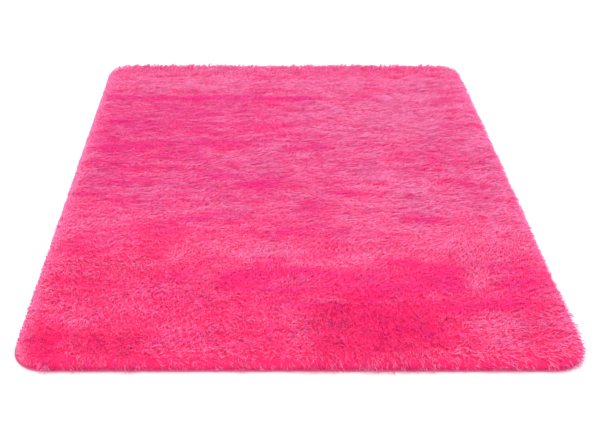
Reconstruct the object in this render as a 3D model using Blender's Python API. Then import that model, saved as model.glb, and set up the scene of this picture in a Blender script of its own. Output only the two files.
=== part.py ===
"""Shag rug: a flat base cloth with rounded corners under one mass of long soft pile.

Metres, +Z up. The origin is on the floor under the rug's middle. X runs across the width,
Y along the length, and -Y is the front edge.
"""

import math

import bmesh
import bpy

# Whole rug
RUG_WIDTH = 1.200
RUG_LENGTH = 1.600
CORNER_RADIUS = 0.075

# Base cloth: its turned edge stands clear of the pile all round
BACKING_THICKNESS = 0.0055
BACKING_SET_BACK_LEFT = 0.001
BACKING_SET_BACK_RIGHT = 0.009
BACKING_SET_BACK_ENDS = 0.004
BACKING_EDGE_ROUND = 0.0018

# Pile mass
CLEARANCE = 0.0004
PILE_HEIGHT = 0.0350
PILE_FOOT = BACKING_THICKNESS + CLEARANCE
CELLS_ACROSS = 44
CELLS_ALONG = 56

# Flank of the pile from its foot to its flat top: distance in from the edge, share of height
FLANK = (
    # inset,  height share
    (0.0000, 0.00),
    (0.0008, 0.34),
    (0.0050, 0.66),
    (0.0130, 0.86),
    (0.0260, 0.96),
    (0.0440, 1.00),
)

# Soft folds left across the pile from packing: where each lies, how far it reaches, its shape
CREASES = (
    # along,  from_x,  to_x,  bend,    depth,   half_width
    (0.535, -0.600, 0.600, 0.012, 0.0045, 0.030),
    (0.000, -0.600, 0.600, 0.000, 0.0025, 0.035),
    (-0.395, -0.330, 0.420, -0.030, 0.0045, 0.032),
    (-0.590, -0.060, 0.300, -0.015, 0.0040, 0.026),
    (-0.440, -0.520, -0.350, 0.060, 0.0030, 0.022),
)

# Swells and hollows where the pile stands higher or is brushed flat
SWELLS = (
    # across, along,  radius_x, radius_y, rise
    (0.000, 0.620, 0.520, 0.060, 0.0015),
    (-0.300, 0.330, 0.220, 0.150, -0.0025),
    (0.260, 0.420, 0.200, 0.100, 0.0010),
    (0.380, -0.180, 0.200, 0.170, 0.0015),
    (-0.420, -0.150, 0.140, 0.120, 0.0010),
    (0.050, -0.460, 0.200, 0.045, -0.0030),
    (0.430, -0.510, 0.040, 0.090, 0.0015),
    (0.180, -0.700, 0.170, 0.080, -0.0030),
    (0.360, -0.730, 0.080, 0.050, 0.0012),
    (-0.540, -0.730, 0.050, 0.045, -0.0028),
    (-0.390, -0.740, 0.080, 0.040, -0.0028),
    (-0.380, -0.640, 0.100, 0.040, 0.0015),
    (-0.150, -0.620, 0.160, 0.100, 0.0010),
)

PINK_PILE = (0.90, 0.10, 0.27, 1.0)
PINK_CLOTH = (0.55, 0.07, 0.22, 1.0)


def clear_scene():
    """Remove whatever the file holds."""
    for old in list(bpy.data.objects):
        bpy.data.objects.remove(old, do_unlink=True)


def cloth_material(name, colour, roughness):
    """A plain matt cloth material."""
    material = bpy.data.materials.new(name)
    material.use_nodes = True
    shader = material.node_tree.nodes["Principled BSDF"]
    shader.inputs["Base Color"].default_value = colour
    shader.inputs["Roughness"].default_value = roughness
    shader.inputs["Metallic"].default_value = 0.0
    return material


def rounded_corner(x, y, half_x, half_y, radius):
    """Pull a point of a square corner onto the rounded corner, ring by ring."""
    past_x = abs(x) - (half_x - radius)
    past_y = abs(y) - (half_y - radius)
    if past_x <= 0.0 or past_y <= 0.0:
        return x, y
    ring = max(past_x, past_y)
    scale = ring / math.hypot(past_x, past_y)
    round_x = half_x - radius + past_x * scale
    round_y = half_y - radius + past_y * scale
    return math.copysign(round_x, x), math.copysign(round_y, y)


def crease_drop(x, y):
    """How far the packing folds lower the pile at a point."""
    drop = 0.0
    for along, from_x, to_x, bend, depth, half_width in CREASES:
        middle = (from_x + to_x) / 2.0
        half_span = (to_x - from_x) / 2.0
        across = (x - middle) / half_span
        line = along + bend * across * across
        fade = 1.0 / (1.0 + math.exp((abs(x - middle) - half_span) / 0.03))
        drop += depth * fade * math.exp(-((y - line) / half_width) ** 2)
    return drop


def swell_rise(x, y):
    """How far the swells and hollows lift or lower the pile at a point."""
    rise = 0.0
    for across, along, radius_x, radius_y, height in SWELLS:
        away = ((x - across) / radius_x) ** 2 + ((y - along) / radius_y) ** 2
        rise += height * math.exp(-away)
    return rise


def line_places(half, cells):
    """Places of the grid lines across the rug: the flank's rings, then even steps."""
    insets = [inset for inset, share in FLANK]
    rings = len(insets)
    inner = half - insets[-1]
    steps = cells - 2 * (rings - 1)
    places = [-half + inset for inset in insets]
    for step in range(1, steps):
        places.append(-inner + 2.0 * inner * step / steps)
    places.extend(half - inset for inset in reversed(insets))
    return places


def height_share(ring):
    """Share of the pile's height that a ring of the grid stands at."""
    if ring < len(FLANK):
        return FLANK[ring][1]
    return 1.0


def shape_pile(mesh):
    """Turn a flat grid into the crowned pile and close it underneath."""
    half_x = RUG_WIDTH / 2.0
    half_y = RUG_LENGTH / 2.0
    places_x = line_places(half_x, CELLS_ACROSS)
    places_y = line_places(half_y, CELLS_ALONG)
    pile = bmesh.new()
    bmesh.ops.create_grid(
        pile, x_segments=CELLS_ACROSS, y_segments=CELLS_ALONG, size=0.5
    )
    for vertex in pile.verts:
        column = round((vertex.co.x + 0.5) * CELLS_ACROSS)
        row = round((vertex.co.y + 0.5) * CELLS_ALONG)
        ring = min(column, CELLS_ACROSS - column, row, CELLS_ALONG - row)
        x, y = rounded_corner(
            places_x[column], places_y[row], half_x, half_y, CORNER_RADIUS
        )
        top = PILE_HEIGHT - crease_drop(x, y) + swell_rise(x, y)
        z = PILE_FOOT + (top - PILE_FOOT) * height_share(ring)
        vertex.co = (x, y, z)
    rim = [edge for edge in pile.edges if edge.is_boundary]
    bmesh.ops.holes_fill(pile, edges=rim, sides=0)
    bmesh.ops.recalc_face_normals(pile, faces=pile.faces)
    pile.to_mesh(mesh)
    pile.free()


def build_pile(collection):
    """The shag pile: one crowned mass from edge to edge, creased where it was folded."""
    mesh = bpy.data.meshes.new("pile")
    shape_pile(mesh)
    mesh.materials.append(cloth_material("pink_shag", PINK_PILE, 0.85))
    pile = bpy.data.objects.new("pile", mesh)
    collection.objects.link(pile)
    return pile


def backing_corner(centre_x, centre_y, start_angle, radius, steps):
    """Points of one rounded corner of the base cloth."""
    points = []
    for step in range(steps + 1):
        angle = start_angle + math.pi / 2.0 * step / steps
        x = centre_x + radius * math.cos(angle)
        y = centre_y + radius * math.sin(angle)
        points.append((x, y, 0.0))
    return points


def build_backing(collection):
    """The base cloth: a flat rounded rectangle with a soft turned edge."""
    left = -RUG_WIDTH / 2.0 + BACKING_SET_BACK_LEFT
    right = RUG_WIDTH / 2.0 - BACKING_SET_BACK_RIGHT
    end = RUG_LENGTH / 2.0 - BACKING_SET_BACK_ENDS
    radius = CORNER_RADIUS - BACKING_SET_BACK_ENDS
    corners = (
        (right - radius, end - radius, 0.0),
        (left + radius, end - radius, math.pi / 2.0),
        (left + radius, -end + radius, math.pi),
        (right - radius, -end + radius, math.pi * 1.5),
    )
    outline = []
    for centre_x, centre_y, start_angle in corners:
        outline.extend(backing_corner(centre_x, centre_y, start_angle, radius, 12))
    curve = bpy.data.curves.new("backing_outline", "CURVE")
    curve.dimensions = "2D"
    curve.fill_mode = "BOTH"
    curve.extrude = BACKING_THICKNESS / 2.0 - BACKING_EDGE_ROUND
    curve.bevel_depth = BACKING_EDGE_ROUND
    curve.bevel_resolution = 1
    curve.offset = -BACKING_EDGE_ROUND
    spline = curve.splines.new("POLY")
    spline.points.add(len(outline) - 1)
    for point, place in zip(spline.points, outline):
        point.co = (place[0], place[1], place[2], 1.0)
    spline.use_cyclic_u = True
    sheet = bpy.data.objects.new("backing_curve", curve)
    collection.objects.link(sheet)
    mesh = bpy.data.meshes.new_from_object(sheet)
    bpy.data.objects.remove(sheet, do_unlink=True)
    weld = bmesh.new()
    weld.from_mesh(mesh)
    bmesh.ops.remove_doubles(weld, verts=weld.verts, dist=0.00005)
    bmesh.ops.recalc_face_normals(weld, faces=weld.faces)
    weld.to_mesh(mesh)
    weld.free()
    mesh.name = "backing"
    mesh.materials.clear()
    mesh.materials.append(cloth_material("pink_backing", PINK_CLOTH, 0.8))
    backing = bpy.data.objects.new("backing", mesh)
    backing.location = (0.0, 0.0, BACKING_THICKNESS / 2.0)
    collection.objects.link(backing)
    return backing


def build_rug():
    """Build the whole rug in its own collection."""
    clear_scene()
    collection = bpy.data.collections.new("shag_rug")
    bpy.context.scene.collection.children.link(collection)
    build_backing(collection)
    build_pile(collection)


build_rug()
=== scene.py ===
"""Looks of the shag rug: base cloth, the dense under-pile, and the loose locks that cover it."""

import math

import bmesh
import bpy
import numpy as np
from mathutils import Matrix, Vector, noise


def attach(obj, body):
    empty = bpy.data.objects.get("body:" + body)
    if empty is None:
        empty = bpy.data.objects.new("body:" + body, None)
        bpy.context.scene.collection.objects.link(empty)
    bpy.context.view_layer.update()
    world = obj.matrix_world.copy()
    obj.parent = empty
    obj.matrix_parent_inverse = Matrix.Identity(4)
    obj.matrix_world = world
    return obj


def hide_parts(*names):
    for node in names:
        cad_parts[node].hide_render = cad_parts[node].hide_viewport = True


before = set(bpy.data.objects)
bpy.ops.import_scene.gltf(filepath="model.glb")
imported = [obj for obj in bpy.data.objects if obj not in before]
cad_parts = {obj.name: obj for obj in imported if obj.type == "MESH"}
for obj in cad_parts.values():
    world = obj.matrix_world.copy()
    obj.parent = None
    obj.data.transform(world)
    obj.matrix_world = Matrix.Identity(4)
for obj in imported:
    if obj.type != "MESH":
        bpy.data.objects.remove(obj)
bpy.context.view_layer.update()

# ---------------------------------------------------------------------------
# Base cloth
# One flat rounded rectangle of plain pink cloth with a smooth turned edge. It lies
# flat on the floor under the pile, and its edge shows as a thin band along the front.
# ---------------------------------------------------------------------------

RUG_WIDTH = 1.200
RUG_LENGTH = 1.600
CORNER_RADIUS = 0.075
CLOTH_LEFT = -0.599
CLOTH_RIGHT = 0.591
CLOTH_END = 0.796
CLOTH_CORNER = 0.071
CLOTH_CORNER_STEPS = 14
CLOTH_PINK = (0.74, 0.088, 0.245)
CLOTH_SHADED = (0.60, 0.055, 0.190)
THREADS_SCALE = 210.0
FIBRE_SPECULAR = 0.14
FIBRE_SHEEN_TINT = (1.0, 0.28, 0.44, 1.0)
FIBRE_GLOW_REACH = (0.008, 0.0010, 0.0020)


class Wire:
    """A node's output socket that takes part in Python sums."""

    def __init__(self, tree, socket):
        self.tree = tree
        self.socket = socket

    def make(self, kind, settings=None, sockets=None, output=0):
        """Add any node: its settings first, then the values or links of its sockets."""
        node = self.tree.nodes.new(kind)
        for name, value in (settings or {}).items():
            if name == "stops":
                set_stops(node.color_ramp, value)
            else:
                setattr(node, name, value)
        for key, value in (sockets or {}).items():
            if isinstance(value, Wire):
                self.tree.links.new(value.socket, node.inputs[key])
            else:
                node.inputs[key].default_value = value
        return Wire(self.tree, node.outputs[output])

    def out(self, name):
        """Another output of the same node."""
        return Wire(self.tree, self.socket.node.outputs[name])

    def is_vector(self):
        return self.socket.type in {"VECTOR", "RGBA", "ROTATION"}

    def sum(self, operation, left, right):
        """One Math or Vector Math node for an operator."""
        vectors = [isinstance(x, Wire) and x.is_vector() for x in (left, right)]
        if not any(vectors):
            return self.make("ShaderNodeMath", {"operation": operation}, {0: left, 1: right})
        if all(vectors):
            return self.make("ShaderNodeVectorMath", {"operation": operation}, {0: left, 1: right})
        if operation == "MULTIPLY":
            vector, number = (left, right) if vectors[0] else (right, left)
            return self.make(
                "ShaderNodeVectorMath", {"operation": "SCALE"}, {0: vector, "Scale": number}
            )
        return self.make("ShaderNodeVectorMath", {"operation": operation}, {0: left, 1: right})

    def __add__(self, other):
        return self.sum("ADD", self, other)

    def __radd__(self, other):
        return self.sum("ADD", other, self)

    def __sub__(self, other):
        return self.sum("SUBTRACT", self, other)

    def __rsub__(self, other):
        return self.sum("SUBTRACT", other, self)

    def __mul__(self, other):
        return self.sum("MULTIPLY", self, other)

    def __rmul__(self, other):
        return self.sum("MULTIPLY", other, self)

    def __truediv__(self, other):
        return self.sum("DIVIDE", self, other)

def set_stops(ramp, stops):
    """Set a colour ramp's stops: place and grey level."""
    while len(ramp.elements) > 1:
        ramp.elements.remove(ramp.elements[-1])
    for place, level in stops:
        element = ramp.elements.new(place)
        element.color = (level, level, level, 1.0)
    ramp.elements.remove(ramp.elements[0])


def opaque(colour):
    """A colour with its alpha."""
    return (colour[0], colour[1], colour[2], 1.0)


def new_cloth_material(name, roughness, sheen, sheen_roughness, through=0.0):
    """A matt fibre material. Returns it, its shader and a wire to build on."""
    material = bpy.data.materials.new(name)
    material.use_nodes = True
    tree = material.node_tree
    shader = tree.nodes["Principled BSDF"]
    shader.inputs["Roughness"].default_value = roughness
    shader.inputs["Specular IOR Level"].default_value = FIBRE_SPECULAR
    shader.inputs["Sheen Weight"].default_value = sheen
    shader.inputs["Sheen Roughness"].default_value = sheen_roughness
    shader.inputs["Sheen Tint"].default_value = FIBRE_SHEEN_TINT
    shader.inputs["Subsurface Weight"].default_value = through
    shader.inputs["Subsurface Radius"].default_value = FIBRE_GLOW_REACH
    shader.inputs["Subsurface Scale"].default_value = 1.0
    return material, shader, Wire(tree, shader.outputs[0])


def blend_colour(wire, factor, first, second):
    """A Mix node for two colours."""
    return wire.make(
        "ShaderNodeMix",
        {"data_type": "RGBA", "blend_type": "MIX"},
        {0: factor, 6: first, 7: second},
        output=2,
    )


def rounded_outline(left, right, front, back, radius, steps):
    """Corner points of a rounded rectangle, anticlockwise."""
    corners = (
        (right - radius, back - radius, 0.0),
        (left + radius, back - radius, 0.5),
        (left + radius, front + radius, 1.0),
        (right - radius, front + radius, 1.5),
    )
    points = []
    for centre_x, centre_y, turns in corners:
        for step in range(steps + 1):
            angle = math.pi * (turns + 0.5 * step / steps)
            x = centre_x + radius * math.cos(angle)
            y = centre_y + radius * math.sin(angle)
            points.append((x, y))
    return points


def link_mesh(name, mesh, material):
    """An object for a finished mesh, in the scene, at the origin."""
    mesh.name = name
    mesh.materials.clear()
    mesh.materials.append(material)
    piece = bpy.data.objects.new(name, mesh)
    bpy.context.scene.collection.objects.link(piece)
    return piece


def base_cloth_mesh():
    """The sheet as stacked outlines: flat underneath, its edge rounded, flat on top."""
    edge_profile = (
        # inset, height
        (0.0022, 0.0000),
        (0.0007, 0.0006),
        (0.0000, 0.0020),
        (0.0000, 0.0036),
        (0.0007, 0.0049),
        (0.0022, 0.0055),
    )
    cloth = bmesh.new()
    rings = []
    for inset, height in edge_profile:
        outline = rounded_outline(
            CLOTH_LEFT + inset,
            CLOTH_RIGHT - inset,
            -CLOTH_END + inset,
            CLOTH_END - inset,
            CLOTH_CORNER - inset,
            CLOTH_CORNER_STEPS,
        )
        rings.append([cloth.verts.new((x, y, height)) for x, y in outline])
    for low, high in zip(rings, rings[1:]):
        count = len(low)
        for k in range(count):
            after = (k + 1) % count
            cloth.faces.new((low[k], low[after], high[after], high[k]))
    cloth.faces.new(list(reversed(rings[0])))
    cloth.faces.new(rings[-1])
    bmesh.ops.recalc_face_normals(cloth, faces=cloth.faces)
    mesh = bpy.data.meshes.new("base_cloth")
    cloth.to_mesh(mesh)
    cloth.free()
    mesh.polygons.foreach_set("use_smooth", [True] * len(mesh.polygons))
    return mesh


def base_cloth_material():
    """Plain dull pink cloth: a fine close weave and a faint mottle."""
    material, shader, wire = new_cloth_material("base_cloth", 0.85, 0.25, 0.5)
    place = wire.make("ShaderNodeTexCoord").out("Object")
    mottle = wire.make("ShaderNodeTexNoise", None, {"Vector": place, "Scale": 22.0, "Detail": 3.0})
    bands = []
    for direction in ("X", "Y"):
        band = wire.make(
            "ShaderNodeTexWave",
            {"wave_type": "BANDS", "bands_direction": direction},
            {"Vector": place, "Scale": THREADS_SCALE, "Distortion": 0.4},
            output="Fac",
        )
        bands.append(band)
    weave = bands[0] * bands[1]
    shade = mottle * 0.5 + weave * 0.35 + 0.15
    colour = blend_colour(wire, shade, opaque(CLOTH_SHADED), opaque(CLOTH_PINK))
    wire.tree.links.new(colour.socket, shader.inputs["Base Color"])
    bump = wire.make(
        "ShaderNodeBump", None, {"Strength": 0.35, "Distance": 0.0006, "Height": weave}
    )
    wire.tree.links.new(bump.socket, shader.inputs["Normal"])
    return material


base_cloth = link_mesh("base_cloth", base_cloth_mesh(), base_cloth_material())
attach(base_cloth, "root")
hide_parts("backing")

# ---------------------------------------------------------------------------
# Under-pile
# The dense lower part of the shag, where the strands stand too close to be told apart.
# One closed mass from the base cloth up to just under the tips, creased where it was folded.
# ---------------------------------------------------------------------------

PILE_TOP = 0.0350
UNDER_PILE_SHARE = 0.80
UNDER_PILE_FOOT = 0.0059
FLANK = (
    # inset,  height share
    (0.0040, 0.00),
    (0.0052, 0.34),
    (0.0090, 0.64),
    (0.0170, 0.84),
    (0.0290, 0.95),
    (0.0450, 1.00),
)
UNDER_PILE_STEP = 0.0095
UNDER_PILE_ROUGH = 0.0014
UNDER_PILE_GRAIN = 0.035
CREASE_FADE = 0.03
CREASES = (
    # along,  from_x,  to_x,  bend,    depth,   half_width
    (0.535, -0.600, 0.600, 0.012, 0.0060, 0.020),
    (0.000, -0.600, 0.600, 0.000, 0.0020, 0.030),
    (-0.395, -0.330, 0.420, -0.030, 0.0060, 0.026),
    (-0.590, -0.060, 0.300, -0.015, 0.0060, 0.018),
    (-0.440, -0.520, -0.350, 0.060, 0.0040, 0.018),
)
UNDER_PILE_PINK = (0.92, 0.032, 0.160)
# painted shade for the hollows of the fibrous grain
UNDER_PILE_HOLLOW_SHADE = (0.85, 0.016, 0.118)
# painted shade at the foot of the under-pile, under the overhanging locks
UNDER_PILE_FOOT_SHADE = (0.62, 0.012, 0.085)
# painted highlight along the left side, where the pale edge catches the light
UNDER_PILE_LEFT_HIGHLIGHT = (0.74, 0.200, 0.370)
# where the painted shade at the foot starts, how far up it fades, and how strong it is
FOOT_SHADE_FROM = 0.007
FOOT_SHADE_FADE = 0.009
FOOT_SHADE_SHARE = 0.9
LEFT_HIGHLIGHT_WIDTH = 0.045


def soft_step(value):
    """1 well below 0 and 0 well above it."""
    return 1.0 / (1.0 + np.exp(np.clip(value, -30, 30)))


def crease_drop(x, y):
    """How far the packing folds lower the pile at each place."""
    drop = np.zeros_like(x)
    for along, from_x, to_x, bend, depth, half_width in CREASES:
        middle = (from_x + to_x) / 2.0
        half_span = (to_x - from_x) / 2.0
        across = (x - middle) / half_span
        line = along + bend * across * across
        fade = soft_step((np.abs(x - middle) - half_span) / CREASE_FADE)
        drop += depth * fade * np.exp(-(((y - line) / half_width) ** 2))
    return drop


def edge_distance(x, y):
    """Distance in from the rug's rounded outline, and the outward direction."""
    past_x = np.abs(x) - (RUG_WIDTH / 2.0 - CORNER_RADIUS)
    past_y = np.abs(y) - (RUG_LENGTH / 2.0 - CORNER_RADIUS)
    corner = (past_x > 0.0) & (past_y > 0.0)
    reach = np.hypot(np.maximum(past_x, 0.0), np.maximum(past_y, 0.0))
    straight = np.minimum(CORNER_RADIUS - past_x, CORNER_RADIUS - past_y)
    inside = np.where(corner, CORNER_RADIUS - reach, straight)
    out_x = np.where(corner, past_x, (past_x > past_y) * 1.0)
    out_y = np.where(corner, past_y, (past_x <= past_y) * 1.0)
    size = np.maximum(np.hypot(out_x, out_y), 1e-6)
    return inside, np.sign(x) * out_x / size, np.sign(y) * out_y / size


def flank_share(inside):
    """Share of the full height that the pile has at a distance from the edge."""
    insets = [row[0] for row in FLANK]
    shares = [row[1] for row in FLANK]
    return np.interp(inside, insets, shares)


def fold_noise(x, y, size, seed):
    """Smooth repeatable unevenness, about -1 to 1, at one scale."""
    values = [
        noise.noise(Vector((a / size, b / size, seed))) for a, b in zip(x.ravel(), y.ravel())
    ]
    return np.array(values).reshape(x.shape) * 1.6


def grid_lines(half, step):
    """Places of the grid lines: the flank's rings, then even steps."""
    insets = [inset for inset, share in FLANK]
    inner = half - insets[-1]
    count = max(2, round(2.0 * inner / step))
    middle = np.linspace(-inner, inner, count + 1)[1:-1]
    low = [-half + inset for inset in insets]
    return np.array(low + list(middle) + [-place for place in reversed(low)])


def round_corners(x, y):
    """Pull the square corners of a grid onto the rug's rounded ones, ring by ring."""
    past_x = np.abs(x) - (RUG_WIDTH / 2.0 - CORNER_RADIUS)
    past_y = np.abs(y) - (RUG_LENGTH / 2.0 - CORNER_RADIUS)
    corner = (past_x > 0.0) & (past_y > 0.0)
    ring = np.maximum(past_x, past_y)
    scale = np.where(corner, ring / np.maximum(np.hypot(past_x, past_y), 1e-9), 1.0)
    new_x = np.where(corner, RUG_WIDTH / 2.0 - CORNER_RADIUS + past_x * scale, np.abs(x))
    new_y = np.where(corner, RUG_LENGTH / 2.0 - CORNER_RADIUS + past_y * scale, np.abs(y))
    return np.copysign(new_x, x), np.copysign(new_y, y)


def grid_faces(columns, rows):
    """Four corners of every face of a grid, anticlockwise seen from above."""
    index = np.arange(columns * rows).reshape(rows, columns)
    return np.stack(
        [index[:-1, :-1], index[:-1, 1:], index[1:, 1:], index[1:, :-1]], axis=-1
    ).reshape(-1, 4)


def under_pile_surface(step):
    """The top of the close strands as a grid: its places and its faces."""
    lines_x = grid_lines(RUG_WIDTH / 2.0, step)
    lines_y = grid_lines(RUG_LENGTH / 2.0, step)
    x, y = np.meshgrid(lines_x, lines_y)
    x, y = round_corners(x, y)
    inside, out_x, out_y = edge_distance(x, y)
    top = (PILE_TOP - UNDER_PILE_FOOT) * UNDER_PILE_SHARE - crease_drop(x, y)
    top += UNDER_PILE_ROUGH * fold_noise(x, y, UNDER_PILE_GRAIN, 3.0)
    z = UNDER_PILE_FOOT + top * flank_share(inside)
    places = np.stack([x.ravel(), y.ravel(), z.ravel()], axis=-1)
    return places, grid_faces(len(lines_x), len(lines_y))


def under_pile_mesh():
    """The surface of the close strands, closed underneath."""
    places, faces = under_pile_surface(UNDER_PILE_STEP)
    mesh = bpy.data.meshes.new("under_pile")
    mesh.from_pydata(places.tolist(), [], faces.tolist())
    closed = bmesh.new()
    closed.from_mesh(mesh)
    rim = [edge for edge in closed.edges if edge.is_boundary]
    bmesh.ops.holes_fill(closed, edges=rim, sides=0)
    bmesh.ops.recalc_face_normals(closed, faces=closed.faces)
    closed.to_mesh(mesh)
    closed.free()
    mesh.polygons.foreach_set("use_smooth", [True] * len(mesh.polygons))
    return mesh


def under_pile_material():
    """Deep pink close strands: a fine fibrous grain, darker with painted shade in its hollows."""
    material, shader, wire = new_cloth_material("under_pile", 0.9, 0.1, 0.4)
    place = wire.make("ShaderNodeTexCoord").out("Object")
    strands = wire.make(
        "ShaderNodeTexNoise", None, {"Vector": place, "Scale": 260.0, "Detail": 4.0}
    )
    clumps = wire.make("ShaderNodeTexNoise", None, {"Vector": place, "Scale": 60.0, "Detail": 2.0})
    shade = strands * 0.6 + clumps * 0.4
    spread = wire.make("ShaderNodeValToRGB", {"stops": ((0.35, 0.0), (0.65, 1.0))}, {0: shade})
    # The grain is darker where its bump is low: painted shade in the hollows.
    colour = blend_colour(wire, spread, opaque(UNDER_PILE_HOLLOW_SHADE), opaque(UNDER_PILE_PINK))
    across = wire.make("ShaderNodeSeparateXYZ", None, {0: place})
    # Painted shade low on the under-pile, under the locks that hang over it.
    above_foot_shade = (across.out("Z") - FOOT_SHADE_FROM) / FOOT_SHADE_FADE
    low = wire.make("ShaderNodeClamp", None, {0: 1.0 - above_foot_shade})
    colour = blend_colour(wire, low * FOOT_SHADE_SHARE, colour, opaque(UNDER_PILE_FOOT_SHADE))
    # Painted highlight along the left side of the under-pile.
    from_left = (across + RUG_WIDTH / 2.0) / LEFT_HIGHLIGHT_WIDTH
    at_left_highlight = wire.make("ShaderNodeClamp", None, {0: 1.0 - from_left + (strands - 0.5) * 0.6})
    colour = blend_colour(wire, at_left_highlight, colour, opaque(UNDER_PILE_LEFT_HIGHLIGHT))
    wire.tree.links.new(colour.socket, shader.inputs["Base Color"])
    bump = wire.make("ShaderNodeBump", None, {"Strength": 0.7, "Distance": 0.003, "Height": shade})
    wire.tree.links.new(bump.socket, shader.inputs["Normal"])
    return material


under_pile = link_mesh("under_pile", under_pile_mesh(), under_pile_material())
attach(under_pile, "root")
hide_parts("pile")

# ---------------------------------------------------------------------------
# Shag locks
# The loose upper strands: soft tapered locks knotted into the base cloth. They lean to the
# right, are brushed other ways in patches, and hang a little over the edges.
# ---------------------------------------------------------------------------

LOCKS_PER_SQUARE_METRE = 73000.0
LOCK_HALF_WIDTH = 0.00112
LOCK_REACH = 0.017
LOCK_SINK = 0.004
LOCK_STAND = 0.0088
LOCK_TOP = 0.0466
LOCK_TIP_PINK = (0.890, 0.053, 0.210)
LOCK_SHEEN_PINK = (0.945, 0.155, 0.343)
# painted rim highlight: the pale greyish tips along the edges
LOCK_RIM_HIGHLIGHT_PINK = (0.74, 0.260, 0.440)
LOCK_SHADE_PINK = (0.90, 0.014, 0.168)
LOCK_ROOT_SHADE_PINK = (0.90, 0.018, 0.145)
# painted shade in the gaps between clumps
LOCK_GAP_SHADE_PINK = (0.78, 0.010, 0.115)
LOCK_FACES = 6
LOCK_LOOPS = 18
BED_STEP = 0.006
FRONT_FROM = -0.30  # forward of here the pile is brushed less evenly
FRONT_BLEND = 0.08
COMBED_FROM = -0.42  # behind here the strands lie in long streaks
COMBED_BLEND = 0.05
EDGE_WIDTH = 0.030
FRINGE_SHARE = 1.5
FAR_CLUMPED = 0.070
RIM_HIGHLIGHT_FADE = 0.012
SWIRLS = ((0.55, 0.30, 21.0), (0.45, 0.10, 33.0))  # weight, size, seed
EDGE_LIGHT = {
    # side: lighter tone, more of it in front, where its fade starts, how far in it fades
    "left": (2.6, 0.0, 0.006, 0.014),
    "right": (1.9, 0.8, 0.0, 0.026),
    "far": (1.3, 0.0, 0.0, 0.012),
    "near": (2.5, 0.0, 0.0, 0.019),
}
EDGE_PULLED_OUT = {"right": 0.85, "near": 0.80, "far": 0.70}
EDGE_PRESSED_DOWN = {"right": 0.45, "near": 0.30, "left": 0.45}
EDGE_TUFTED = {"near": 1.0, "right": 0.6, "far": 1.0}
EDGE_KEPT_EVEN = {"left": 0.75, "near": 0.35, "far": 0.70}
EDGE_RIM_HIGHLIGHT = {"left": 1.0, "right": 0.7, "far": 0.7, "near": 0.3}
LEFT_EDGE_LEAN = 0.85
TUFT_SPACING = 0.030
TUFT_SWAY = 0.45
STAND_ROUGH = 0.0014
FULL_SIZE_HEIGHT = 0.016
SMALLEST_LOCK = 0.45
TALLEST_FRINGE = 0.011
TIPS_ACROSS = 0.010  # from a lock's root to its tip, so that areas lie where the tips show
TIPS_ALONG = 0.013
WISPS = (0.150, 0.034, 4.0)  # size across, size along, detail
STREAKS = (0.045, 0.0065, 1.0)
SPECKS = (0.012, 0.012, 1.0)
CLUMPS_PER_METRE = 120.0
ROUND_CLUMPS = (1.0, 1.0, 1.0)
LONG_CLUMPS = (0.25, 1.0, 1.0)
EDGE_CLUMPS = (1.0, 0.25, 0.25)
EDGE_CLUMP_SHARE = 1.15
PATCH_BORDER = 0.0045
SMALL_PATCH = 0.030
# The areas that were brushed flat or upright, one over the other, with the sheen or shade of their
# lay painted in: tone -1 is deep painted shade, 1 pale painted sheen.
BRUSHED_SHEEN_PATCHES = (
    # across, along, half width, half length, tone
    (0.00, 0.76, 0.75, 0.07, 0.45),  # back edge
    (0.00, 0.62, 0.75, 0.08, 1.05),  # back band
    (-0.28, 0.25, 0.32, 0.29, -0.20),  # back left
    (0.28, 0.40, 0.18, 0.20, 1.00),  # back right
    (0.53, 0.25, 0.07, 0.45, 0.65),
    (0.20, 0.09, 0.38, 0.10, 0.35),  # centre
    (-0.20, 0.52, 0.37, 0.02, -1.00),  # fold across the back
    (0.37, -0.19, 0.25, 0.20, 0.85),  # middle right
    (-0.30, -0.20, 0.26, 0.20, 0.10),  # middle left
    (0.20, -0.48, 0.41, 0.08, -0.45),  # front, below the ridge
    (-0.38, -0.52, 0.22, 0.12, 0.10),
    (0.05, -0.38, 0.32, 0.02, 1.10),  # ridge across the front
    (0.07, -0.43, 0.12, 0.04, 0.80),
    (0.32, -0.46, 0.09, 0.04, -0.85),
    (0.42, -0.48, 0.03, 0.08, 0.65),
    (0.51, -0.50, 0.05, 0.06, -0.70),
    (-0.06, -0.48, 0.18, 0.02, -1.00),
    (0.02, -0.60, 0.14, 0.02, -0.90),
    (-0.45, -0.43, 0.13, 0.03, 0.90),
    (-0.18, -0.70, 0.20, 0.10, 0.10),  # front middle
    (0.18, -0.69, 0.14, 0.11, -0.75),
    (0.35, -0.62, 0.07, 0.02, -0.95),
    (0.42, -0.69, 0.04, 0.06, 0.65),  # front right
    (0.38, -0.79, 0.14, 0.03, 0.85),
    (-0.53, -0.76, 0.07, 0.05, -1.10),  # front left corner
    (-0.38, -0.74, 0.06, 0.06, -0.55),
    (-0.46, -0.69, 0.03, 0.06, 0.65),
)
# The areas that were brushed another way: heading in degrees from +X, and how much of it.
BRUSHED_TURNS = (
    # across, along, half width, half length, heading, share
    (0.00, 0.76, 0.62, 0.07, 90, 0.65),
    (0.05, -0.38, 0.40, 0.02, 80, 0.30),
    (0.31, -0.46, 0.10, 0.06, 300, 0.40),
    (0.42, -0.48, 0.03, 0.08, 60, 0.50),
    (0.17, -0.69, 0.15, 0.11, 270, 0.90),
    (0.42, -0.69, 0.05, 0.06, 20, 0.50),
    (-0.54, -0.75, 0.06, 0.07, 240, 0.80),
    (-0.39, -0.74, 0.07, 0.07, 270, 0.80),
    (-0.45, -0.44, 0.07, 0.05, 300, 0.50),
)
STREAK_COUNT = 80
STREAK_SEED = 4
STREAK_HALF_WIDTHS = (0.020, 0.060)
STREAK_HALF_LENGTHS = (0.012, 0.028)
STREAK_TONES = (0.35, 0.90)
STREAK_SIGNS = (-1.0, -1.0, 1.0)  # two darker for each lighter one


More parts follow.
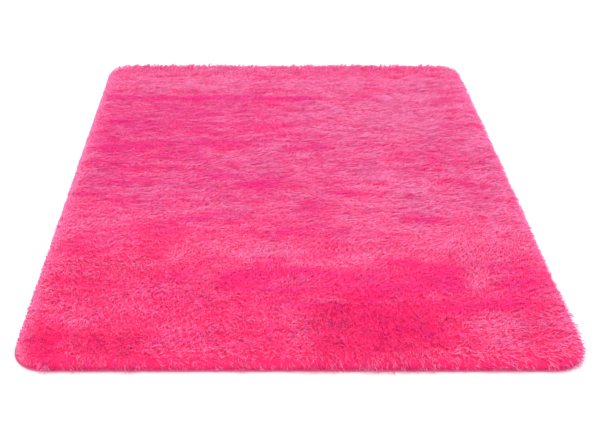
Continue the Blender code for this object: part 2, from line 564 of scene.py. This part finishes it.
def patch_share(x, y, ragged, across, along, half_w, half_l):
    """How much each place belongs to a patch: 1 within, 0 outside, with a ragged border."""
    u = (x - across) / half_w
    v = (y - along) / half_l
    small = min(half_w, half_l)
    within = (1.0 - (u**4 + v**4) ** 0.25) * small
    within += ragged * min(1.0, small / SMALL_PATCH)
    return soft_step(-within / PATCH_BORDER)


def brushed_sheen_tone(x, y, ragged):
    """How light each place is: the painted sheen and shade of the brushed areas, and the small
    random streaks.
    """
    tone = np.zeros_like(x)
    for across, along, half_w, half_l, patch_tone in BRUSHED_SHEEN_PATCHES:
        share = patch_share(x, y, ragged, across, along, half_w, half_l)
        tone += share * (patch_tone - tone)
    chance = np.random.default_rng(STREAK_SEED)
    for _ in range(STREAK_COUNT):
        across = chance.uniform(-0.54, 0.54)
        along = chance.uniform(-0.74, 0.60)
        half_w = chance.uniform(*STREAK_HALF_WIDTHS)
        half_l = chance.uniform(*STREAK_HALF_LENGTHS)
        shift = chance.uniform(*STREAK_TONES) * chance.choice(STREAK_SIGNS)
        tone += shift * patch_share(x, y, ragged, across, along, half_w, half_l)
    return tone


def brushed_lean(x, y, tip_x, tip_y, ragged, front):
    """Which way the pile is brushed, and how far it leans, away from the edges."""
    swirl = sum(weight * fold_noise(x, y, size, seed) for weight, size, seed in SWIRLS)
    heading = swirl * (0.35 + 1.2 * front)
    lean = 1.0 - 0.35 * front + 0.25 * fold_noise(x, y, 0.12, 41.0)
    lean_x = lean * np.cos(heading)
    lean_y = lean * np.sin(heading)
    for across, along, half_w, half_l, turned_to, turned in BRUSHED_TURNS:
        share = turned * patch_share(tip_x, tip_y, ragged, across, along, half_w, half_l)
        lean_x += share * (math.cos(math.radians(turned_to)) - lean_x)
        lean_y += share * (math.sin(math.radians(turned_to)) - lean_y)
    return lean_x, lean_y


def shared(sides, shares):
    """What each place gets of an amount that is given side by side."""
    return sum(share * sides[side] for side, share in shares.items())


def edge_light(inside, sides, front):
    """The lighter tone along each side of the rug, where the tips catch the light."""
    for side, (light, more, start, fade) in EDGE_LIGHT.items():
        yield (light + more * front) * np.exp(-np.maximum(inside - start, 0.0) / fade) * sides[side]


def bed_fields(x, y):
    """Which way the pile is brushed, how light it is, and how high it stands."""
    inside, out_x, out_y = edge_distance(x, y)
    front = soft_step((y - FRONT_FROM) / FRONT_BLEND)
    tip_x = x + TIPS_ACROSS
    tip_y = y + TIPS_ALONG
    ragged = 0.016 * fold_noise(x / 2.5, y, 0.035, 71.0) + 0.007 * fold_noise(x, y, 0.014, 77.0)
    tone = brushed_sheen_tone(tip_x, tip_y, ragged)
    lean_x, lean_y = brushed_lean(x, y, tip_x, tip_y, ragged, front)
    left = np.clip(-out_x, 0.0, 1.0)
    right = np.clip(out_x, 0.0, 1.0)
    near = np.clip(-out_y, 0.0, 1.0)
    far = np.clip(out_y, 0.0, 1.0)
    sides = {"left": left, "right": right, "near": near, "far": far}
    for light in edge_light(inside, sides, front):
        tone += light
    near_edge = np.clip(1.0 - inside / EDGE_WIDTH, 0.0, 1.0)
    pull = near_edge * shared(sides, EDGE_PULLED_OUT)
    lean_x = lean_x * (1.0 - pull) + pull * out_x
    lean_y = lean_y * (1.0 - pull) + pull * out_y
    lean_x = lean_x + left * near_edge * (LEFT_EDGE_LEAN - lean_x)
    lean_y = lean_y * (1.0 - 0.7 * left * near_edge)
    tuft = 2.0 * math.pi * (y / TUFT_SPACING + 0.5 * fold_noise(x, y, 0.11, 91.0))
    lean_y -= TUFT_SWAY * np.sin(tuft) * right * near_edge
    longer = 1.0 + TUFT_SWAY * np.cos(tuft) * right * near_edge
    longer *= 1.0 - 0.35 * front + 0.40 * near_edge * near
    fringe = np.clip(FRINGE_SHARE - inside / EDGE_WIDTH, 0.0, 1.0) * far
    stand = LOCK_STAND * (1.0 - near_edge * shared(sides, EDGE_PRESSED_DOWN))
    stand *= 1.0 - 0.30 * fringe
    stand += STAND_ROUGH * fold_noise(x, y, 0.045, 81.0) * (1.0 - near_edge)
    # Painted rim highlight on the tips along the edges, strongest at the left.
    rim = np.clip(1.4 - inside / RIM_HIGHLIGHT_FADE, 0.0, 1.0)
    rim = np.clip(rim * shared(sides, EDGE_RIM_HIGHLIGHT), 0.0, 1.0)
    far_clumped = np.clip(1.3 - inside / FAR_CLUMPED, 0.0, 1.0) * far
    return {
        "lean": np.stack([lean_x, lean_y], axis=-1),
        "tone": tone,
        "rim": rim,
        "stand": stand,
        "droop": near_edge * right,
        "loose": 1.0 - near_edge * shared(sides, EDGE_KEPT_EVEN),
        "longer": longer,
        "combed": soft_step((COMBED_FROM - y) / COMBED_BLEND),
        "tufted": near_edge * shared(sides, EDGE_TUFTED),
        "fringe": fringe,
        "edged": near_edge * near + far_clumped,
        "shaded": near_edge * near,
    }


def add_attribute(mesh, name, values):
    """A named number or vector for every vertex."""
    values = np.asarray(values, dtype=np.float32)
    kind, field = ("FLOAT", "value") if values.ndim == 1 else ("FLOAT_VECTOR", "vector")
    attribute = mesh.attributes.new(name, kind, "POINT")
    attribute.data.foreach_set(field, values.ravel())


def brushed_surface():
    """The surface that the locks grow on: places, faces, and the brushing of each place."""
    places, faces = under_pile_surface(BED_STEP)
    whole = bpy.data.meshes.new("lock_bed")
    whole.from_pydata(places.tolist(), [], faces.tolist())
    normals = np.zeros(len(places) * 3, dtype=np.float32)
    whole.vertices.foreach_get("normal", normals)
    bpy.data.meshes.remove(whole)
    normals = normals.reshape(-1, 3)
    fields = bed_fields(places[:, 0], places[:, 1])
    lean = fields.pop("lean")
    strength = np.linalg.norm(lean, axis=1, keepdims=True)
    lay = np.concatenate([lean, np.zeros((len(lean), 1))], axis=1)
    lay = lay - normals * np.sum(lay * normals, axis=1, keepdims=True)
    lay = lay / np.maximum(np.linalg.norm(lay, axis=1, keepdims=True), 1e-6) * strength
    sunk = places - normals * LOCK_SINK
    sunk[:, 2] = np.maximum(sunk[:, 2], UNDER_PILE_FOOT + 0.0005)
    above_foot = (places[:, 2] - UNDER_PILE_FOOT) / FULL_SIZE_HEIGHT
    size = SMALLEST_LOCK + (1.0 - SMALLEST_LOCK) * above_foot
    fields["size"] = np.clip(size, SMALLEST_LOCK, 1.0)
    fields["up"] = normals
    fields["lay"] = lay
    return sunk, faces, fields


def lock_bed_mesh(front, back):
    """The strip of the rug that one piece of locks grows on."""
    places, faces, fields = BRUSHED
    middle = places[faces][:, :, 1].mean(axis=1)
    mesh = bpy.data.meshes.new("lock_bed")
    mesh.from_pydata(places.tolist(), [], faces[(middle >= front) & (middle < back)].tolist())
    for name, values in fields.items():
        add_attribute(mesh, name, values)
    return mesh


def lock_tree(material):
    """Geometry nodes that plant locks on a bed, bend them along its brushing and clump them."""
    tree = bpy.data.node_groups.new("plant_shag_locks", "GeometryNodeTree")
    face = tree.interface
    face.new_socket("Bed", in_out="INPUT", socket_type="NodeSocketGeometry")
    face.new_socket("Locks per square metre", in_out="INPUT", socket_type="NodeSocketFloat")
    face.new_socket("Half width", in_out="INPUT", socket_type="NodeSocketFloat")
    face.new_socket("Reach", in_out="INPUT", socket_type="NodeSocketFloat")
    face.new_socket("Seed", in_out="INPUT", socket_type="NodeSocketInt")
    face.new_socket("Locks", in_out="OUTPUT", socket_type="NodeSocketGeometry")
    entry = tree.nodes.new("NodeGroupInput")
    bed = Wire(tree, entry.outputs["Bed"])
    density = Wire(tree, entry.outputs["Locks per square metre"])
    half_width = Wire(tree, entry.outputs["Half width"])
    reach = Wire(tree, entry.outputs["Reach"])
    seed = Wire(tree, entry.outputs["Seed"])

    def named(name, kind="FLOAT"):
        return bed.make("GeometryNodeInputNamedAttribute", {"data_type": kind}, {"Name": name})

    def store(geometry, name, value, kind="FLOAT"):
        return bed.make(
            "GeometryNodeStoreNamedAttribute",
            {"data_type": kind, "domain": "POINT"},
            {"Geometry": geometry, "Name": name, "Value": value},
        )

    def chance(low, high, number, kind="FLOAT"):
        settings = {"data_type": kind}
        inputs = {"Seed": seed + number}
        if kind == "FLOAT":
            inputs.update({2: low, 3: high})
            return bed.make("FunctionNodeRandomValue", settings, inputs, output=1)
        inputs.update({0: low, 1: high})
        return bed.make("FunctionNodeRandomValue", settings, inputs, output=0)

    points = bed.make(
        "GeometryNodeDistributePointsOnFaces",
        {"distribute_method": "RANDOM"},
        {"Mesh": bed, "Density": density, "Seed": seed},
    )
    place = bed.make("GeometryNodeInputPosition")
    points = store(points, "root", place, "FLOAT_VECTOR")
    stray = chance((-1.0,) * 3, (1.0,) * 3, 1, "FLOAT_VECTOR")
    points = store(points, "stray", stray, "FLOAT_VECTOR")
    points = store(points, "length", chance(0.70, 1.20, 2))
    points = store(points, "girth", half_width * chance(0.75, 1.25, 5))
    points = store(points, "shade", chance(0.0, 1.0, 3))

    def vector_sum(operation, first, second):
        return bed.make("ShaderNodeVectorMath", {"operation": operation}, {0: first, 1: second})

    def strewn(across, along, detail):
        """Noise over the rug with its own grain size across and along, about 0."""
        shares = {"X": 1.0 / across, "Y": 1.0 / along, "Z": 9.0}
        spread = bed.make("ShaderNodeCombineXYZ", None, shares)
        settings = {"Vector": vector_sum("MULTIPLY", place, spread), "Detail": detail, "Scale": 1.0}
        return bed.make("ShaderNodeTexNoise", None, settings) - 0.5

    combed = named("combed")
    wisps = strewn(*WISPS) * (combed * 1.2 + 2.5)
    streaks = strewn(*STREAKS) * (combed * 3.0 + 0.8)
    specks = strewn(*SPECKS) * (1.0 - combed) * 1.6
    points = store(points, "tone", named("tone") + wisps + streaks + specks)

    def nearest_clump(root, squeeze, share):
        """The clump a root belongs to: how far its middle is, the way there, its own chance."""
        squeezed = vector_sum("MULTIPLY", root, squeeze)
        cell = bed.make(
            "ShaderNodeTexVoronoi",
            {"feature": "F1"},
            {"Vector": squeezed, "Scale": CLUMPS_PER_METRE * share},
            output="Distance",
        )
        red = bed.make("ShaderNodeSeparateXYZ", None, {0: cell.out("Color")})
        return cell, cell.out("Position") - squeezed, red

    edged = named("edged")
    round_gap = nearest_clump(place, ROUND_CLUMPS, 1.0)[0]
    long_gap = nearest_clump(place, LONG_CLUMPS, 1.0)[0]
    edge_gap, _, edge_chance = nearest_clump(place, EDGE_CLUMPS, EDGE_CLUMP_SHARE)
    gap = round_gap + (long_gap - round_gap) * combed
    gap = gap + (edge_gap * 1.15 - gap) * edged
    # Painted shade between the clumps, deepened along the front flank.
    points = store(points, "gap", gap * (named("shaded") * 0.55 + 1.0))
    tall = edge_chance * edge_chance * named("fringe")
    points = store(points, "stand", named("stand") + tall * TALLEST_FRINGE)
    uneven = (edge_chance - 0.5) * edged
    points = store(points, "longer", named("longer") * (1.0 + uneven * 0.9 + tall * 0.6))
    spindle = bed.make(
        "GeometryNodeMeshUVSphere", None, {"Segments": 3, "Rings": 2, "Radius": 1.0}
    )
    spindle = store(spindle, "local", place, "FLOAT_VECTOR")
    planted = bed.make(
        "GeometryNodeInstanceOnPoints", None, {"Points": points, "Instance": spindle}
    )
    loose = bed.make("GeometryNodeRealizeInstances", None, {"Geometry": planted})

    local = named("local", "FLOAT_VECTOR")
    side = bed.make("ShaderNodeSeparateXYZ", None, {0: local})
    front = side.out("Y")
    along = side.out("Z") * 0.5 + 0.5
    root = named("root", "FLOAT_VECTOR")
    stray = named("stray", "FLOAT_VECTOR")
    length = named("length") * named("size")
    stand = named("stand")
    droop = named("droop")
    girth = named("girth")
    up = named("up", "FLOAT_VECTOR")
    lean = named("lay", "FLOAT_VECTOR")
    broad = bed.make(
        "ShaderNodeTexNoise", None, {"Vector": root, "Scale": 16.0, "Detail": 1.0}, output="Color"
    )
    close = bed.make(
        "ShaderNodeTexNoise", None, {"Vector": root, "Scale": 60.0, "Detail": 1.0}, output="Color"
    )
    half = bed.make("ShaderNodeCombineXYZ", None, {"X": 0.5, "Y": 0.5, "Z": 0.5})
    tossed = (broad - half) * 1.1 + (close - half) * 1.0
    calm = 1.0 - 0.55 * named("combed")
    wander = (tossed * calm + stray * (0.85 - 0.50 * named("combed"))) * named("loose")
    flat = bed.make("ShaderNodeCombineXYZ", None, {"X": 1.0, "Y": 1.0, "Z": 0.3})
    heading = lean + wander * flat
    round_way = nearest_clump(root, ROUND_CLUMPS, 1.0)[1]
    long_way = vector_sum("MULTIPLY", nearest_clump(root, LONG_CLUMPS, 1.0)[1], (0.0, 1.0, 1.0))
    edge_way = nearest_clump(root, EDGE_CLUMPS, EDGE_CLUMP_SHARE)[1]
    edge_way = vector_sum("MULTIPLY", edge_way, (1.0, 0.0, 0.0))
    gather = round_way + (long_way - round_way) * named("combed")
    gather = gather + (edge_way - gather) * named("edged")
    outward = bed.make(
        "ShaderNodeVectorMath", {"operation": "DOT_PRODUCT"}, {0: gather, 1: up}, output="Value"
    )
    gather = gather - up * outward
    bend = along * along
    out = heading * (reach * length * named("longer") * (bend * 0.8 + along * 0.2))
    out = out + gather * (bend * (named("tufted") * 0.5 + 0.35))
    rise = (stand + LOCK_SINK) * length * along * (2.0 - along)
    drop = bed.make("ShaderNodeCombineXYZ", None, {"Z": droop * stand * bend * along * 0.9})
    pointed = bed.make("ShaderNodeVectorMath", {"operation": "NORMALIZE"}, {0: heading})
    sideways = vector_sum("CROSS_PRODUCT", pointed, up)
    above = up * 0.8 - pointed * 0.5
    around = sideways * (side * girth) + above * (front * girth * 0.8)
    path = root + out + up * rise - drop + around
    parts = bed.make("ShaderNodeSeparateXYZ", None, {0: path})
    above_rim = bed.make(
        "ShaderNodeMath", {"operation": "MAXIMUM"}, {0: parts.out("Z"), 1: UNDER_PILE_FOOT}
    )
    below_top = bed.make("ShaderNodeMath", {"operation": "MINIMUM"}, {0: above_rim, 1: LOCK_TOP})
    kept_up = bed.make(
        "ShaderNodeCombineXYZ", None, {"X": parts, "Y": parts.out("Y"), "Z": below_top}
    )
    set_place = bed.make(
        "GeometryNodeSetPosition", None, {"Geometry": loose, "Position": kept_up}
    )
    kept = store(set_place, "along", along)
    spent = ("local", "root", "stray", "length", "girth", "stand", "droop", "loose", "size")
    spent += ("up", "lay", "combed", "tufted", "fringe", "edged", "shaded", "longer")
    for name in spent:
        kept = bed.make("GeometryNodeRemoveAttribute", None, {"Geometry": kept, "Name": name})
    # side, above and path are left-handed, which has turned every spindle's faces inward.
    outward_faces = bed.make("GeometryNodeFlipFaces", None, {"Mesh": kept})
    smooth = bed.make("GeometryNodeSetShadeSmooth", None, {"Geometry": outward_faces})
    dressed = bed.make(
        "GeometryNodeSetMaterial", None, {"Geometry": smooth, "Material": material}
    )
    leave = tree.nodes.new("NodeGroupOutput")
    tree.links.new(dressed.socket, leave.inputs["Locks"])
    return tree


def lock_material():
    """Glossy soft pink strands: deep with painted shade at the root, lighter at the tip, painted
    sheen or shade by patch.
    """
    material, shader, wire = new_cloth_material("shag_locks", 0.62, 0.05, 0.4, 0.85)

    def carried(name):
        return wire.make("ShaderNodeAttribute", {"attribute_name": name}).out("Fac")

    place = wire.make("ShaderNodeTexCoord").out("Object")
    fibre = wire.make("ShaderNodeTexNoise", None, {"Vector": place, "Scale": 420.0, "Detail": 2.0})
    # The tone runs from painted shade through the tip pink to painted sheen, with a little random
    # tone for each lock and fibre.
    level = carried("tone") * 0.5 + 0.5 + (carried("shade") - 0.5) * 0.26 + (fibre - 0.5) * 0.25
    light = wire.make("ShaderNodeClamp", None, {0: (level - 0.5) * 2.0})
    dark = wire.make("ShaderNodeClamp", None, {0: (0.5 - level) * 2.0})
    tip = blend_colour(wire, light, opaque(LOCK_TIP_PINK), opaque(LOCK_SHEEN_PINK))
    tip = blend_colour(wire, dark, tip, opaque(LOCK_SHADE_PINK))
    # Painted rim highlight along the edges.
    tip = blend_colour(wire, carried("rim"), tip, opaque(LOCK_RIM_HIGHLIGHT_PINK))
    # Painted shade in the gaps between the clumps.
    between_clumps_shade = wire.make("ShaderNodeClamp", None, {0: (carried("gap") - 0.56) * 2.8})
    tip = blend_colour(wire, between_clumps_shade, tip, opaque(LOCK_GAP_SHADE_PINK))
    # Painted shade deep in the pile, towards each lock's root.
    rise = wire.make("ShaderNodeClamp", None, {0: carried("along") * 1.5 - 0.1})
    colour = blend_colour(wire, rise, opaque(LOCK_ROOT_SHADE_PINK), tip)
    wire.tree.links.new(colour.socket, shader.inputs["Base Color"])
    return material


def bake_cells(mesh):
    """Lay every lock's faces out in a small cell of its own, so that its colours bake."""
    count = len(mesh.loops) // LOCK_LOOPS
    cells = math.ceil(math.sqrt(count))
    first = np.zeros((LOCK_LOOPS, 2))
    for face in range(LOCK_FACES):
        polygon = mesh.polygons[face]
        corners = list(polygon.loop_indices)
        rises = [mesh.attributes["along"].data[mesh.loops[k].vertex_index].value for k in corners]
        level = 0
        for loop, rise in zip(corners, rises):
            if abs(rise - 0.5) < 0.1:
                first[loop] = ((face % 3 + 0.9 * level) / 3.0, 0.5)
                level += 1
            else:
                first[loop] = ((face % 3 + 0.45) / 3.0, rise)
    lock = np.arange(count)
    column = (lock % cells)[:, None]
    row = (lock // cells)[:, None]
    u = (column + 0.10 + 0.80 * first[None, :, 0]) / cells
    v = (row + 0.10 + 0.80 * first[None, :, 1]) / cells
    layer = mesh.uv_layers.new(name="OFBake")
    flat = np.stack([u, v], axis=-1).reshape(-1)
    layer.data.foreach_set("uv", flat.astype(np.float32))


def socket_key(tree, name):
    """The identifier of a named input of a geometry nodes group."""
    for item in tree.interface.items_tree:
        if item.item_type == "SOCKET" and item.in_out == "INPUT" and item.name == name:
            return item.identifier
    raise KeyError(name)


def plant_locks(name, front, back, seed, tree, material):
    """One strip of locks across the rug as a plain mesh."""
    bed = bpy.data.objects.new("lock_bed", lock_bed_mesh(front, back))
    bpy.context.scene.collection.objects.link(bed)
    grow = bed.modifiers.new("plant", "NODES")
    grow.node_group = tree
    grow[socket_key(tree, "Locks per square metre")] = LOCKS_PER_SQUARE_METRE
    grow[socket_key(tree, "Half width")] = LOCK_HALF_WIDTH
    grow[socket_key(tree, "Reach")] = LOCK_REACH
    grow[socket_key(tree, "Seed")] = seed
    shown = bed.evaluated_get(bpy.context.evaluated_depsgraph_get())
    mesh = bpy.data.meshes.new_from_object(shown)
    bed.modifiers.remove(grow)
    bpy.data.objects.remove(bed, do_unlink=True)
    bake_cells(mesh)
    return link_mesh(name, mesh, material)


LOCK_STRIPS = (
    # name, front edge, back edge, seed
    ("locks_front", -0.800, -0.500, 11),
    ("locks_mid_front", -0.500, -0.180, 12),
    ("locks_middle", -0.180, 0.150, 13),
    ("locks_mid_back", 0.150, 0.480, 14),
    ("locks_back", 0.480, 0.800, 15),
)
BRUSHED = brushed_surface()
shag = lock_material()
planting = lock_tree(shag)
for strip_name, strip_front, strip_back, strip_seed in LOCK_STRIPS:
    strip = plant_locks(strip_name, strip_front, strip_back, strip_seed, planting, shag)
    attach(strip, "root")

# ---------------------------------------------------------------------------
# Studio
# A plain white floor, one large soft light overhead, a softer one from the front, and an
# even pale surround. The camera stands in front of the rug and looks down on it.
# ---------------------------------------------------------------------------

CAMERA_PLACE = (-0.0849, -2.320, 1.2819)
CAMERA_PITCH = 30.72
CAMERA_LENS = 57.56
CAMERA_SHIFT_X = 0.0685
FLOOR_SIZE = 40.0
FLOOR_DROP = 0.0004
FLOOR_WHITE = (0.88, 0.88, 0.88, 1.0)
SURROUND_LEVEL = 1.25


def white_floor():
    """A wide plain floor."""
    bpy.ops.mesh.primitive_plane_add(size=FLOOR_SIZE, location=(0.0, 0.0, -FLOOR_DROP))
    floor = bpy.context.object
    floor.name = "floor"
    material = bpy.data.materials.new("white_floor")
    material.use_nodes = True
    shader = material.node_tree.nodes["Principled BSDF"]
    shader.inputs["Base Color"].default_value = FLOOR_WHITE
    shader.inputs["Roughness"].default_value = 0.9
    shader.inputs["Specular IOR Level"].default_value = 0.1
    floor.data.materials.append(material)


def soft_light(name, place, aim, size, power):
    """A square soft light that points at a place."""
    lamp = bpy.data.lights.new(name, "AREA")
    lamp.size = size
    lamp.energy = power
    light = bpy.data.objects.new(name, lamp)
    light.location = place
    toward = Vector(aim) - Vector(place)
    light.rotation_euler = toward.to_track_quat("-Z", "Y").to_euler()
    bpy.context.scene.collection.objects.link(light)


def pale_surround(level):
    """Even light from all round."""
    world = bpy.data.worlds.new("surround")
    world.use_nodes = True
    sky = world.node_tree.nodes["Background"]
    sky.inputs["Color"].default_value = (1.0, 1.0, 1.0, 1.0)
    sky.inputs["Strength"].default_value = level
    bpy.context.scene.world = world


white_floor()
soft_light("overhead", (0.3, 0.1, 3.2), (0.0, 0.0, 0.0), 2.6, 90.0)
soft_light("front_fill", (-1.6, -2.6, 2.4), (0.0, -0.2, 0.0), 2.0, 6.0)
pale_surround(SURROUND_LEVEL)

lens = bpy.data.cameras.new("camera")
lens.lens = CAMERA_LENS
lens.sensor_width = 36.0
lens.shift_x = CAMERA_SHIFT_X
camera = bpy.data.objects.new("camera", lens)
camera.location = CAMERA_PLACE
camera.rotation_euler = (math.radians(90.0 - CAMERA_PITCH), 0.0, 0.0)
bpy.context.scene.collection.objects.link(camera)
bpy.context.scene.camera = camera
bpy.context.scene.view_settings.view_transform = "Standard"
